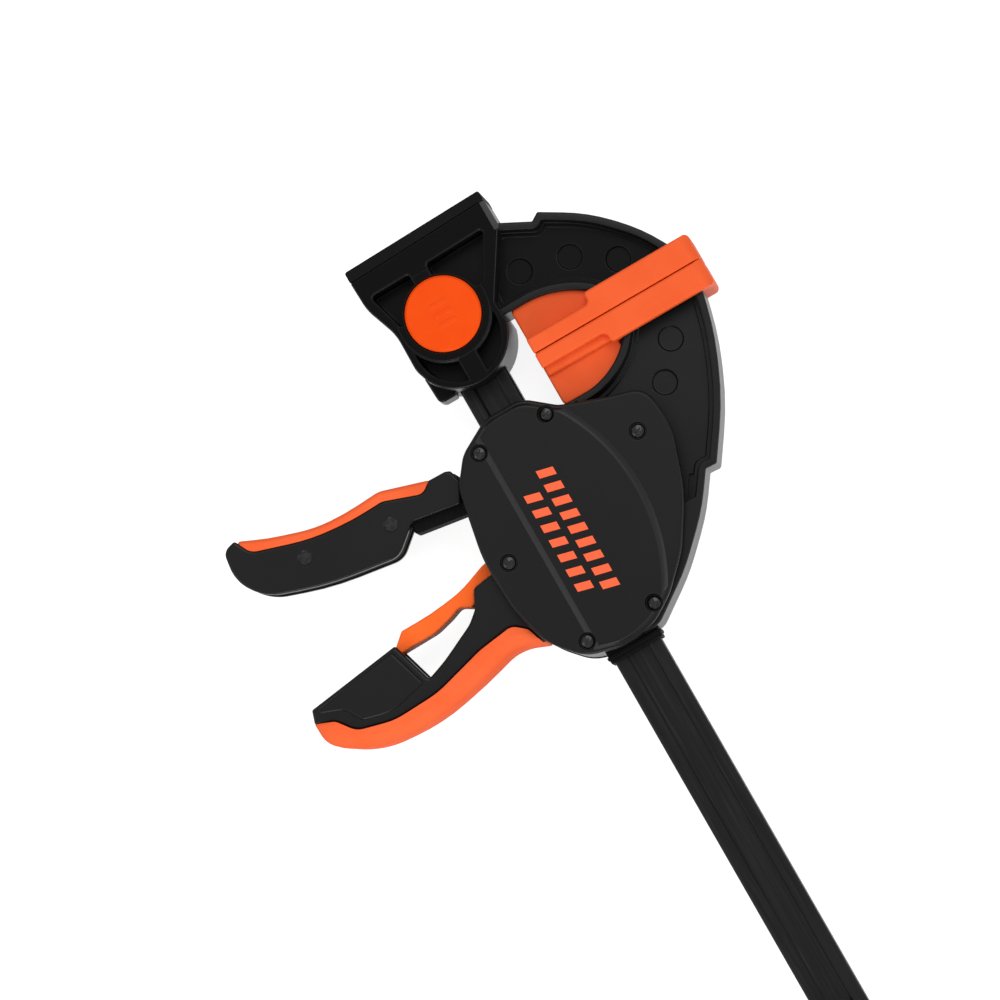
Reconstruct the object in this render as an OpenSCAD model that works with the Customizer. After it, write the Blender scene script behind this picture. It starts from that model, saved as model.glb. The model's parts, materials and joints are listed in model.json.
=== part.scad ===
// One-handed quick release bar clamp, jaws closed, lying on its rear cover.
// X runs along the bar towards its free end, Y towards the jaw tips, Z up.
// Millimetres. The rear cover's flat face lies on Z = 0.

/* [Bar] */
// Length of the steel bar
bar_len = 328; // [300:1:620]
// Height of the bar, across its narrow edges
bar_h = 20; // [16:0.5:25]
// Thickness of the bar
bar_t = 10; // [8:0.5:11.5]
// Height of the rolled groove in each side of the bar
groove_h = 9; // [5:0.5:10]
// Depth of that groove
groove_d = 1.1; // [0.4:0.1:1.5]
// Running gap round the bar in its guides
bar_gap = 0.15; // [0.1:0.05:0.25]
// Radius of the stop pin near the bar's free end
stop_pin_r = 2.5; // [1.5:0.25:3]

/* [Jaws] */
// Reach of the jaws above the bar
reach = 81; // [66:1:98]
// Thickness of both jaw arms
arm_t = 26; // [20:1:28]
// Thickness of the web between an arm's rims
web_t = 10; // [8:1:14]
// Width of an arm's rim
rim_w = 3; // [2:0.25:4]
// Thickness of the fixed jaw's foot
foot_t = 38; // [32:1:39.5]
// Gap between the two pads when the jaws are closed
closed_gap = 0.3; // [0.3:0.1:1]

/* [Pads] */
// Thickness of a pad in front of its arm
pad_face_t = 3.9; // [2.5:0.1:5]
// Wall of a pad beside its arm
pad_side_t = 4.2; // [2.5:0.1:5]
// Width of the strap that goes over an arm's tip
strap_w = 11; // [8:0.5:13]
// Thickness of the wing that fills an arm's throat
wing_t = 21; // [14:1:24]

/* [Housing] */
// Thickness of the housing over both covers
body_t = 40; // [38:1:46]
// Thickness of a cover round its edge
cover_t = 2.6; // [2:0.1:3.2]
// Height of a cover's raised middle band
band_t = 1.4; // [0.8:0.1:2]
// Shaft radius of a cover screw
screw_r = 1.5; // [1:0.1:1.8]
// Head radius of a cover screw
screw_head_r = 2.8; // [2.3:0.1:3]
// Length of a cover screw under its head
screw_len = 9; // [6:0.5:10]

/* [Drive] */
// Thickness of the squeeze lever
lever_t = 20; // [17:0.5:21]
// Thickness of each side plate of the lever
plate_t = 3.5; // [2:0.25:3.5]
// Radius of the lever's pivot pin
lever_pin_r = 3; // [2:0.25:3.5]
// Running gap of a lever on its pin
pin_gap = 0.05; // [0.02:0.01:0.1]
// Thickness of one drive plate or brake plate
jam_plate_t = 2.6; // [2:0.1:2.7]
// Rest tilt of the brake plates
brake_tilt = 2; // [1:0.25:2.5]
// Wire diameter of the drive spring
drive_wire = 1.6; // [1.2:0.1:1.8]

/* [Release] */
// Thickness of the release trigger
trigger_t = 14; // [10:0.5:14.5]
// Radius of the release trigger's pivot pin
trigger_pin_r = 2; // [1.5:0.1:2.2]
// Thickness of the grip's core
grip_t = 25; // [22:0.5:28]
// Thickness of the grip's soft back
soft_t = 27; // [25:0.5:30]

/* [Button] */
// Radius of the jaw release button
button_r = 14.8; // [12:0.1:15.2]
// Gap round the button in its ring
button_gap = 0.3; // [0.2:0.05:0.4]
// Travel of the button
button_travel = 4; // [3:0.5:4]
// Radius of the latch pin's collar
latch_r = 4; // [3.2:0.1:4.4]

/* [Hidden] */
$fn = 64;

black = [0.13, 0.13, 0.14];
orange = [0.95, 0.38, 0.12];
steel = [0.62, 0.63, 0.65];
dark_steel = [0.2, 0.2, 0.22];

big = 400;             // longer than any cut
b = bar_h / 2;         // half heights and half thicknesses, from the bar's axis
hb = bar_t / 2;
half = body_t / 2;
arm_z = arm_t / 2;
foot_z = foot_t / 2;
core_z = half - cover_t - band_t;    // inner faces of the covers

f = -62.7;                           // plane in which the closed jaws meet
latch_x = f - 30.8;                  // latch pin and button
bar_x0 = latch_x - 17;               // bar's front end, inside the foot
bar_x1 = bar_x0 + bar_len;
stop_x = bar_x1 - 6.5;
body_x0 = -49;                       // housing's ends on the bar
body_x1 = 51.4;
collar_x1 = body_x1 + 3.1;

socket_gap = 0.15;                   // bar in the foot's socket
guide_wall = 1.9;                    // wall of the plastic guides round the bar
collar_wall = 1.05;
soft_reach = b + 12.5;               // pads' lower edge
tip_y = b + reach;

lever_pivot = [-28, b + 11];
trigger_pivot = [2.6, -b - 4.8];
brake_pivot = [12.7, b + 14.9];      // centre of the brake plates' round top
brake_low = -b - 16.8;               // lower end of the brake plates
bay_top = b + 18;                    // roof of both bays
bulkhead = [-7, -3.6];               // wall between the two bays
brake_wall = 30;                     // rear wall of the brake bay

button_floor = hb + 3.9;             // floor under the button
button_top = foot_z + 1;
button_cup = 7;                      // height of the button's skirt
boss_r = screw_head_r + 0.8;
pocket_z = hb + 2.2;                 // floor of the foot's pockets
ring_w = 3.1;                        // width of the ring round the button
foot_end_x = f - 21.3;               // centre and radius of the foot's round end
foot_end_r = 20.6;

tail_r = 2.2;                        // latch pin's thin ends
latch_slot = tail_r + 0.3;           // half width of the bar's keyhole slot
collar_in = 0.4;                     // latch collar's inner face, behind the bar's mid plane
collar_h = hb - collar_in;
collar_room = hb + button_travel + 0.6;    // end of the collar's chamber
ring_z = collar_room + 2.9;          // seat of the latch's retaining ring

pin_end = core_z + 1.6;              // pivot pins end inside the covers
drive_x = -24;                       // front face of the first drive plate
coil_r = norm([b, hb]) + 1.12 + drive_wire;    // drive spring, clear of the bar's corners
plate_split = 0.1;                   // half of the gap between two brake plates
brake_top_r = jam_plate_t + plate_split;
brake_z = 10;                        // half thickness of the brake plates across the bar
slot_gap = 1;                        // side gap of the lever and the trigger in their slots
crown_web = 6;

// ---------- outline helpers: a corner is [x, y, radius] ----------

function unit(v) = v / norm(v);
function xy(c) = [c[0], c[1]];
function cross2(p, q) = p[0] * q[1] - p[1] * q[0];
function side(c) = sign([for (i = [0:len(c) - 1]) cross2(c[i], c[(i + 1) % len(c)])] * [for (k = c) 1]);

// points of the arc that rounds corner q between its neighbours p and s
function corner_arc(p, q, s) =
    let (u = unit(xy(p) - xy(q)), v = unit(xy(s) - xy(q)),
         bend = acos(max(-1, min(1, u * v))) / 2,
         run = min(q[2] / tan(bend), 0.49 * norm(xy(p) - xy(q)), 0.49 * norm(xy(s) - xy(q))),
         r = run * tan(bend))
    q[2] <= 0 || bend > 89.5 ? [xy(q)] :
    let (mid = xy(q) + unit(u + v) * r / sin(bend),
         from = xy(q) + u * run - mid,
         turn = 2 * (90 - bend) * sign(cross2(u, v)) * -1,
         n = ceil(abs(turn) / (r > 8 ? 4 : 15)) + 1)
    [for (i = [0:n]) let (a = turn * i / n)
        mid + [from[0] * cos(a) - from[1] * sin(a), from[0] * sin(a) + from[1] * cos(a)]];

function rounded(c) = let (n = len(c))
    [for (i = [0:n - 1]) each corner_arc(c[(i + n - 1) % n], c[i], c[(i + 1) % n])];

// the same corners, with every edge moved inwards by w
function inset(c, w) = let (n = len(c), s = side(c))
    [for (i = [0:n - 1])
        let (p = xy(c[(i + n - 1) % n]), q = xy(c[i]), e = unit(q - p), g = unit(xy(c[(i + 1) % n]) - q),
             n1 = s * [-e[1], e[0]], n2 = s * [-g[1], g[0]],
             moved = q + w * (n1 + n2) / (1 + n1 * n2),
             r = c[i][2] + (s * cross2(e, g) > 0 ? -w : w))
        [moved[0], moved[1], c[i][2] <= 0 ? 0 : max(0, r)]];

module plate(c, z0, z1) {
    translate([0, 0, z0]) linear_extrude(z1 - z0) polygon(rounded(c));
}

module slab(c, t) {
    plate(c, -t / 2, t / 2);
}

module block(x0, x1, y0, y1, z0, z1) {
    translate([x0, y0, z0]) cube([x1 - x0, y1 - y0, z1 - z0]);
}

module rod(p, r, z0, z1) {
    translate([p[0], p[1], z0]) cylinder(r = r, h = z1 - z0);
}

// sleeve or corridor along the bar: half height y, half thickness z
module along_bar(x0, x1, y, z) {
    block(x0, x1, -y, y, -z, z);
}

// everything is drawn about the bar's axis, then lifted on to the rear cover
module lift() {
    translate([0, 0, half]) children();
}

module mirrored() {
    children();
    mirror([0, 0, 1]) children();
}

// closed helical wire along +X from x0 to x1, outer radius r
module coil(x0, x1, r, wire, turns, sides = 8, per_turn = 16) {
    w = wire / 2;
    n = round(turns * per_turn);
    c = [for (i = [0:n]) let (a = 360 * i / per_turn)
        [x0 + w + (x1 - x0 - wire) * i / n, (r - w) * cos(a), (r - w) * sin(a)]];
    points = [for (i = [0:n]) let (a = 360 * i / per_turn, radial = [0, cos(a), sin(a)])
        for (k = [0:sides - 1]) let (t = 360 * k / sides)
            c[i] + w * (cos(t) * radial + [sin(t), 0, 0])];
    rings = [for (i = [0:n - 1]) for (k = [0:sides - 1]) let (m = (k + 1) % sides)
        each [[i * sides + k, i * sides + m, (i + 1) * sides + m],
              [i * sides + k, (i + 1) * sides + m, (i + 1) * sides + k]]];
    polyhedron(points, concat([[for (k = [sides - 1:-1:0]) k]], rings,
                              [[for (k = [0:sides - 1]) n * sides + k]]), convexity = 8);
}

// ---------- outlines ----------

fixed_arm = [
    [f - 50.9, b + 8, 0], [f - 51.4, b + 25.3, 0], [f - 45.3, b + 36.9, 0.6], [f - 47.5, b + 40.4, 1],
    [f - 37.4, tip_y - 23.9, 90], [f - 21.5, tip_y - 8.9, 90], [f - pad_face_t, tip_y + 0.4, 1.5],
    [f - pad_face_t, tip_y - 31, 8], [f - 13.8, tip_y - 41.5, 40], [f - 19.3, b + 26, 40],
    [f - 19.3, b + 6, 0]];

moving_arm = [
    [f + pad_face_t, tip_y + 1, 1.5], [f + pad_face_t, tip_y - 31, 8], [f + 15.5, tip_y - 39.5, 30],
    [f + 22.3, b + 28, 30], [f + 21.9, b + 8, 0], [30, b, 0], [50.6, b - 4, 0], [50.6, b + 2.6, 8],
    [37.3, b + 21.5, 90], [21, b + 38.2, 90], [8, tip_y - 33.6, 0.8], [8.3, tip_y - 29, 1.5],
    [-12.8, tip_y - 14.4, 120], [-36.4, tip_y - 4.4, 120]];

foot = concat(
    [[f - 61.2, b + 25.1, 0.8], [f - 49.9, b + 25.3, 4], [f - 24.9, b + 9.4, 3]],
    [for (a = [75:-7.5:-60]) [foot_end_x + foot_end_r * cos(a), foot_end_r * sin(a), 0]],
    [[f - 16.7, -b - 9.9, 12], [f - 32.8, -b - 9.7, 20], [f - 46.8, -b - 14.7, 20], [f - 58.9, -b - 15.2, 0.8]]);

// low lug under the foot's round end
foot_lug = [[f - 14, -b - 1.6, 0], [f - 2.6, -b - 1.6, 1], [f - 2.6, -b - 8.8, 2.5], [f - 14, -b - 9.3, 0]];

spreader = [
    [f - 61.2, b + 25.1, 0.6], [f - 58.9, -b - 15.2, 0.6], [f - 63.6, -b - 15.2, 1], [f - 65.26, b + 25.1, 1]];

shell = [
    [body_x0 - 1.4, b - 0.5, 12], [body_x0 - 1.4, -b + 3.5, 14], [-42.8, -b - 10.3, 14], [-32.5, -b - 18.2, 16],
    [-4, -b - 23.7, 60], [18, -b - 23.2, 40], [35.5, -b - 18.6, 30], [47.7, -b - 7.5, 16],
    [51.4, -b + 6, 16], [51.4, b - 8, 16], [49.3, b + 1.8, 20], [42.8, b + 12, 30], [31, b + 24, 40],
    [12, b + 36.2, 60], [-14, b + 45.2, 60], [-30.3, b + 42.5, 9], [-34.6, b + 28, 30], [-41, b + 10.8, 8]];

grip = [
    [1.7, -b - 12, 0], [1.7, -b - 24, 0], [3, -b - 32.4, 2], [10.4, -b - 36.2, 2], [14.2, -b - 40.6, 15],
    [21.6, -b - 56, 60], [24.5, -b - 64.4, 1], [7, -b - 69.6, 1], [12.4, -b - 109.5, 1],
    [17.6, -b - 111.2, 0.5], [20.9, -b - 103.6, 3], [28, -b - 98.2, 8], [31.9, -b - 83.5, 30],
    [31, -b - 64, 40], [25, -b - 42, 30], [23, -b - 27, 5], [27.2, -b - 22, 3],
    [34.5, -b - 19.4, 0], [34.5, -b - 12, 0]];

grip_panel = [
    [25, -b - 66.6, 1], [8.5, -b - 71.6, 1], [13.3, -b - 107.3, 0.5], [15.4, -b - 107.2, 0.5],
    [18.8, -b - 98.6, 5], [25.6, -b - 94.8, 4], [28.8, -b - 83, 20]];

soft_back = [
    [35.8, -b - 17.4, 1], [30.9, -b - 29.4, 40], [35.9, -b - 47.6, 200], [40.2, -b - 69.6, 90],
    [38.2, -b - 94.6, 40], [27.2, -b - 111.1, 14], [17.3, -b - 111.5, 0.8], [17, -b - 104, 0],
    [27.2, -b - 84, 0], [26.6, -b - 62, 0], [20, -b - 38, 0], [18, -b - 20, 0]];

lever_side = [
    [-35.5, -b - 16.4, 2], [-40.9, -b - 18.1, 1], [-41.7, -b - 20, 1], [-41.9, -b - 27, 0], [-38.5, -b - 31.6, 4],
    [-43.9, -b - 46.7, 6], [-43.4, -b - 59.6, 90], [-45, -b - 77.5, 90], [-52.3, -b - 100.2, 6],
    [-59.3, -b - 103.7, 1.2], [-57.8, -b - 109.3, 5], [-45.5, -b - 111, 16], [-34.5, -b - 103.6, 30],
    [-26.5, -b - 80.5, 120], [-22.1, -b - 51.4, 8], [-31.2, -b - 40.6, 4], [-27.9, -b - 20.5, 1.5]];

lever_strip_edge = [
    [-41.9, -b - 26.6, 1], [-48, -b - 46, 10], [-47.1, -b - 61.6, 90], [-48.1, -b - 74.5, 90], [-53.7, -b - 91.8, 90],
    [-58.9, -b - 103.2, 1], [-50, -b - 102.5, 0], [-36, -b - 60, 0], [-36, -b - 30, 0]];

// part of the lever's core that shows beside the side plates
lever_neck = [
    [-41, -b - 20, 0], [-41, -b - 27, 0], [-38.2, -b - 31.8, 4], [-36, -b - 41, 0], [-26.7, -b - 42, 1.5],
    [-23.3, -b - 20, 0]];

trigger = [
    [-1.5, -b - 5, 0], [-4.1, -b - 24, 12], [0.9, -b - 37.5, 40], [2.8, -b - 52, 90], [2.8, -b - 65, 2],
    [7.4, -b - 70.2, 1.5], [8.4, -b - 74, 0.8], [10.3, -b - 73.8, 0.8], [9.9, -b - 53.6, 16],
    [8, -b - 46.2, 8], [6.1, -b - 41, 3], [8.6, -b - 37, 1.2], [7.8, -b - 34.9, 1], [3, -b - 32.7, 3],
    [2, -b - 25, 4], [5, -b - 19, 2], [6.7, -b - 5, 0]];

// where the six cover screws go
screw_spots = [[-40.2, b + 5], [-40, -b - 4.5], [2, -b - 15.5], [43, -b - 4.3], [43, b + 5], [-17, b + 32.2]];

// ---------- bar and fixed jaw ----------

module bar() {
    color(dark_steel) lift() difference() {
        along_bar(bar_x0, bar_x1, b, hb);
        mirrored() block(bar_x0 - 1, bar_x1 + 1, -groove_h / 2, groove_h / 2, hb - groove_d, hb + 1);
        // keyhole for the latch: a slot from the end, and a pocket for the collar behind it
        block(bar_x0 - 1, latch_x, -latch_slot, latch_slot, -hb - 1, hb + 1);
        rod([latch_x, 0], latch_slot, -hb - 1, hb + 1);
        rod([latch_x, 0], latch_r + 0.2, -hb - 1, -collar_in);
        rod([stop_x, 0], stop_pin_r, -hb - 1, hb + 1);
    }
}

module bar_stop_pin() {
    color(steel) lift() rod([stop_x, 0], stop_pin_r, -hb - 3, hb + 3);
}

// openings between the foot's ribs, kept off the button's ring
module foot_pockets() {
    ring = button_r + button_gap + ring_w;
    left = [[f - 51.8, b + 19.6, 1.2], [f - 34, b + 9.6, 2], [f - 34, b - 6.4, 2], [f - 51, b - 6.4, 1.5]];
    low_left = [[f - 50.7, -b + 6, 1.2], [f - 36, -b + 6, 1.2], [f - 34.5, -b - 6.6, 1.2],
                [f - 50.5, -b - 11.2, 1.5]];
    difference() {
        union() {
            plate(left, pocket_z, foot_z + 1);
            plate(low_left, pocket_z, foot_z + 1);
        }
        rod([latch_x, 0], ring, 0, foot_z + 2);
    }
    difference() {
        rod([foot_end_x, 0], foot_end_r - 2.8, pocket_z, foot_z + 1);
        rod([latch_x, 0], ring, 0, foot_z + 2);
        block(f - 30, f, -3.1, 4, 0, foot_z + 2);
    }
}

// round recesses in an arm's web
fixed_dimples = [[f - 32, b + 23.1], [f - 27.1, tip_y - 38.5], [f - 16.9, tip_y - 22.8]];
moving_dimples = [[f + 19.8, tip_y - 20.6], [f + 33.3, tip_y - 30.95]];

module ribbed_arm(c, dimples) {
    difference() {
        slab(c, arm_t);
        mirrored() difference() {
            plate(inset(c, rim_w), web_t / 2, arm_z + 1);
            block(15.6, big, -big, big, 0, big);    // the rear of the moving arm is solid
        }
        for (p = dimples) mirrored() rod(p, 5, web_t / 2 - 0.5, web_t / 2 + 1);
    }
}

module fixed_jaw_frame() {
    color(black) lift() difference() {
        union() {
            ribbed_arm(fixed_arm, fixed_dimples);
            slab(foot, foot_t);
            slab(foot_lug, 2 * pocket_z);
            rod([latch_x, 0], button_r + button_gap + ring_w, 0, foot_z + 0.4);
        }
        mirrored() foot_pockets();
        along_bar(bar_x0 - 0.2, f + 1, b + socket_gap, hb + socket_gap);
        rod([latch_x, 0], button_r + button_gap, button_floor, foot_z + 2);
        rod([latch_x, 0], tail_r + 0.3, -foot_z - 1, button_floor + 1);
        rod([latch_x, 0], latch_r + 0.3, -collar_room, 0);
        rod([latch_x, 0], 9, -foot_z - 1, -ring_z);
    }
}

module spreader_pad() {
    color(black) lift() slab(spreader, foot_t);
}

module push_button() {
    top_z = button_top;
    color(orange) lift() difference() {
        union() {
            difference() {
                rod([latch_x, 0], button_r, top_z - button_cup, top_z);
                rod([latch_x, 0], button_r - 2.2, top_z - button_cup - 1, top_z - 2.4);
            }
            rod([latch_x, 0], 4.6, top_z - button_cup + 0.4, top_z - 2);
            for (i = [-1:1]) block(latch_x + 4 * i - 0.8, latch_x + 4 * i + 0.8, -3.5, 3.5, top_z - 1, top_z + 0.3);
        }
        rod([latch_x, 0], tail_r, 0, top_z - 2.4);
    }
}

module latch_pin() {
    color(steel) lift() {
        rod([latch_x, 0], tail_r, -ring_z - 1.9, button_top - 2.4);
        rod([latch_x, 0], latch_r, -collar_in - collar_h, -collar_in);
    }
}

module latch_ring() {
    color(steel) lift() difference() {
        rod([latch_x, 0], 5.2, -ring_z - 1.2, -ring_z - 0.1);
        rod([latch_x, 0], tail_r, -ring_z - 2, 0);
    }
}

module button_spring() {
    color(steel) translate([latch_x, 0, half]) rotate([0, -90, 0])
        coil(button_floor, button_top - 2.5, 8.2, 1, 3);
}

// strap over the arm's tip, face strip down to the throat, and the wing behind it
module jaw_pad(dir, arm, wing_x) {
    face = f + dir * closed_gap / 2;
    back = f + dir * strap_w;
    low = soft_reach;
    top = tip_y + 5;
    strip = f + dir * 6.4;
    mid = tip_y - 40.6;
    pad_z = arm_z + pad_side_t;
    difference() {
        union() {
            slab([[face, mid - 2, 0], [face, top, 1.5], [back, top, 2], [back, mid, 1]], 2 * pad_z);
            slab([[face, low, 1], [face, mid + 2, 0], [strip, mid + 2, 0], [strip, low, 0.6]], 2 * pad_z);
            slab([[f + dir * 3, low, 0], [f + dir * 3, mid + 1, 0], [back, mid + 1, 0],
                  [f + dir * (wing_x - 4.6), mid, 0], [f + dir * wing_x, b + 30, 0], [f + dir * wing_x, low, 2]], wing_t);
        }
        slab(arm, arm_t);
    }
}

module fixed_jaw_pad() {
    color(orange) lift() jaw_pad(-1, fixed_arm, 20);
}

// ---------- moving jaw ----------

module guide_cut() {
    along_bar(body_x0 - 3, -39, b + bar_gap + collar_wall, hb + bar_gap + guide_wall);
    along_bar(34, body_x1 + 1, b + bar_gap + collar_wall, hb + bar_gap + guide_wall);
    along_bar(-45, 45, b + 0.5, hb + 0.5);
}

lever_bay = [[-39.5, bay_top, 1], [-39.5, -b - 5, 4], [-30, -b - 14.4, 4], [-20, -b - 17.5, 2],
             [bulkhead[0], -b - 19.5, 1], [bulkhead[0], bay_top, 1]];
brake_bay = [[bulkhead[1], bay_top, 1], [bulkhead[1], -b - 19.5, 1], [brake_wall, -b - 16.7, 2], [brake_wall, bay_top, 1]];
lever_slot = [[-36.2, -b - 8.6, 0], [-43, -b - 9.4, 0], [-43, -b - 25, 0], [-9, -b - 30, 0], [-9, -b - 8.6, 0]];
trigger_slot = [[-5.2, -b - 17, 0], [-5.6, -b - 40, 0], [17, -b - 40, 1], [17, -b - 17, 0]];
foot_slot = [[4, -b - 60, 0], [4, -b - 77, 0], [23.5, -b - 77, 1], [23.5, -b - 60, 0]];
crown_pocket = [[-29.5, b + 22, 2], [-27.5, b + 38, 4], [-12, b + 40.5, 4], [9, b + 33.5, 4], [27, b + 22, 2]];

// solids in the housing that hold screws and steer the brake plates
module housing_bosses() {
    mirrored() {
        for (i = [0, 1, 3, 4]) rod(screw_spots[i], boss_r, lever_t / 2 + 0.6, core_z);
        rod(screw_spots[5], boss_r, crown_web / 2, core_z);
        rod(screw_spots[2], boss_r, trigger_t / 2 + slot_gap, core_z);
        block(screw_spots[2][0] - 1.5, screw_spots[2][0] + 1.5, -b - 22, screw_spots[2][1],
              trigger_t / 2 + slot_gap, core_z);
    }
    // cheeks beside the brake plates' round top
    notch = brake_top_r + 0.3;
    for (x = [brake_pivot[0] - notch - 1.4, brake_pivot[0] + notch])
        block(x, x + 1.4, brake_pivot[1] - 1, bay_top + 1, -brake_z - 2, brake_z + 2);
}

module moving_jaw_frame() {
    color(black) lift() difference() {
        union() {
            difference() {
                union() {
                    ribbed_arm(moving_arm, moving_dimples);
                    slab(inset(shell, 0.4), 2 * core_z);
                    slab(grip, grip_t);
                    slab(grip_panel, grip_t + 1.6);
                }
                plate(lever_bay, -half, half);
                plate(brake_bay, -half, half);
                mirrored() plate(crown_pocket, crown_web / 2, half);
            }
            housing_bosses();
        }
        guide_cut();
        slab(lever_slot, lever_t + 2 * slot_gap);
        slab(trigger_slot, trigger_t + 2 * slot_gap);
        slab(foot_slot, trigger_t + 2 * slot_gap);
        // slot in the arm's web beside the step
        mirrored() plate([[6.4, tip_y - 38.2, 0.8], [15.2, tip_y - 44, 0.8], [14.2, tip_y - 45.9, 0.8], [5.6, tip_y - 40.4, 0.8]],
                         web_t / 2 - 2, half);
        for (p = screw_spots) mirrored() rod(p, screw_r, core_z - screw_len + cover_t - 1.4, half);
    }
}

// plate with a raised band between an arched crease and a straight one
module cover() {
    difference() {
        union() {
            plate(shell, core_z, core_z + cover_t);
            intersection() {
                plate(inset(shell, 1.2), core_z, half);
                rod([1, b - 54.8], 76.8, core_z, half);
                block(-big, big, -b - 2.4, big, core_z, half);
            }
        }
        for (p = screw_spots) {
            rod(p, screw_r, 0, half + 1);
            rod(p, screw_head_r + 0.2, core_z + 1.2, half + 1);
        }
        rod(lever_pivot, lever_pin_r, 0, pin_end);
        rod(trigger_pivot, trigger_pin_r, 0, pin_end);
    }
}

module front_cover() {
    color(black) lift() cover();
}

module rear_cover() {
    color(black) lift() mirror([0, 0, 1]) cover();
}

module cover_screw(p) {
    z = core_z + 1.2;
    difference() {
        union() {
            rod(p, screw_head_r, z, z + 1.3);
            rod(p, screw_r, z - screw_len, z);
        }
        for (a = [45, -45]) translate([p[0], p[1], z + 1]) rotate(a) cube([3.4, 0.8, 1.2], center = true);
    }
}

module front_cover_screws() {
    color(steel) lift() for (p = screw_spots) cover_screw(p);
}

module rear_cover_screws() {
    color(steel) lift() mirror([0, 0, 1]) for (p = screw_spots) cover_screw(p);
}

// two plain rows of slanted bars on the front cover
module cover_marks() {
    bar_w = 3.2;
    lean = 1.6;
    rows = [[-23, 29, b - 9.2, 6.6], [-17, 25, b - 18, 6.2]];
    color(orange) lift() for (row = rows) {
        n = round((row[1] - row[0]) / 5.8);
        step = (row[1] - row[0] - bar_w) / (n - 1);
        for (i = [0:n - 1]) translate([row[0] + i * step, row[2], half]) linear_extrude(0.25)
            polygon([[0, 0], [bar_w, 0], [bar_w + lean, row[3]], [lean, row[3]]]);
    }
}

module front_bar_guide() {
    color(dark_steel) lift() difference() {
        along_bar(body_x0 + 0.6, -39.6, b + bar_gap + collar_wall, hb + bar_gap + guide_wall);
        along_bar(-big, big, b + bar_gap, hb + bar_gap);
    }
}

module rear_bar_collar() {
    color(dark_steel) lift() difference() {
        union() {
            along_bar(34.2, collar_x1, b + bar_gap + collar_wall, hb + bar_gap + guide_wall);
            along_bar(body_x1 + 0.2, body_x1 + 1.4, b + bar_gap + 1.6, hb + bar_gap + 2.6);
        }
        along_bar(-big, big, b + bar_gap, hb + bar_gap);
    }
}

module moving_jaw_pad() {
    color(orange) lift() jaw_pad(1, moving_arm, 22.3);
}

module grip_soft_back() {
    color(orange) lift() difference() {
        slab(soft_back, soft_t);
        slab(grip, soft_t + 2);
        slab(shell, 2 * half);
    }
}

// ---------- squeeze lever and drive ----------

module lever_pivot_pin() {
    color(steel) lift() rod(lever_pivot, lever_pin_r, -pin_end, pin_end);
}

module lever_core() {
    hub_r = lever_pin_r + 3.5;
    fork_z = lever_t / 2 - 0.4;
    fork = [[-34.5, b + 11, 0], [-34.8, -b - 14.9, 1], [-39.6, -b - 17.4, 1], [-41, -b - 22, 0],
            [-23.9, -b - 22, 0], [-23.6, -b - 14, 2], [-29.5, -b - 4, 2], [-29.5, b + 11, 0]];
    color(dark_steel) lift() difference() {
        union() {
            rod(lever_pivot, hub_r, -fork_z, fork_z);
            slab(fork, 2 * fork_z);
            slab(lever_neck, lever_t - 2 * plate_t);
            slab(inset(lever_side, 0.6), lever_t - 2 * plate_t);
            // rounded noses that push the drive plates
            for (s = [-1, 1]) {
                z0 = s > 0 ? hb + 0.7 : -fork_z;
                z1 = s > 0 ? fork_z : -hb - 0.7;
                rod([-26.3, 0], 2, z0, z1);
                block(-30, -26.3, -2, 2, z0, z1);
            }
        }
        block(-big, big, -b - 2.8, b + 4, -hb - 0.6, hb + 0.6);
        mirrored() plate([[-45, -b - 15.4, 0], [-45, -b - 30, 0], [-20, -b - 30, 0], [-20, -b - 15.4, 0]],
                         lever_t / 2 - plate_t, half);
        rod(lever_pivot, lever_pin_r + pin_gap, -half, half);
        for (p = rivet_spots) rod(p, 1.6, -half, half);
    }
}

rivet_spots = [[-34.3, -b - 48], [-39.8, -b - 83]];

module lever_plate() {
    difference() {
        plate(lever_side, lever_t / 2 - plate_t, lever_t / 2);
        for (p = rivet_spots) {
            rod(p, 1.6, 0, half);
            rod(p, 2.6, lever_t / 2 - 0.9, half);
        }
    }
}

module lever_front_plate() {
    color(black) lift() lever_plate();
}

module lever_rear_plate() {
    color(black) lift() mirror([0, 0, 1]) lever_plate();
}

module lever_soft_strip() {
    color(orange) lift() difference() {
        slab(lever_strip_edge, lever_t - 0.4);
        slab(lever_side, lever_t + 1);
        slab(lever_neck, lever_t - 2 * plate_t);
    }
}

module lever_rivets() {
    color(steel) lift() for (p = rivet_spots) {
        rod(p, 1.6, -lever_t / 2 + 0.3, lever_t / 2 - 0.3);
        mirrored() rod(p, 2.5, lever_t / 2 - 0.9, lever_t / 2 - 0.3);
    }
}

// steel plate with a window for the bar, standing across it
module jam_plate(x0, y0, y1, z) {
    difference() {
        block(x0, x0 + jam_plate_t, y0, y1, -z, z);
        along_bar(-big, big, b + 0.4, hb + 0.4);
    }
}

module drive_plates() {
    color(steel) lift() for (i = [0, 1]) jam_plate(drive_x + i * (jam_plate_t + 0.2), -b - 3.2, b + 3.2, 11);
}

module drive_spring() {
    color(steel) lift() coil(drive_x + 2 * jam_plate_t + 0.5, bulkhead[0] - 0.1, coil_r, drive_wire, 3);
}

// ---------- brake and release ----------

module brake_plates() {
    length = brake_pivot[1] - brake_low;
    color(steel) lift() difference() {
        translate(brake_pivot) rotate([0, 0, -brake_tilt]) difference() {
            union() {
                block(-brake_top_r, brake_top_r, -length, 0, -brake_z, brake_z);
                rod([0, 0], brake_top_r, -brake_z, brake_z);
            }
            block(-plate_split, plate_split, -length - 1, brake_top_r + 1, -half, half);
        }
        along_bar(-big, big, b + 0.6, hb + 0.4);
    }
}

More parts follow.
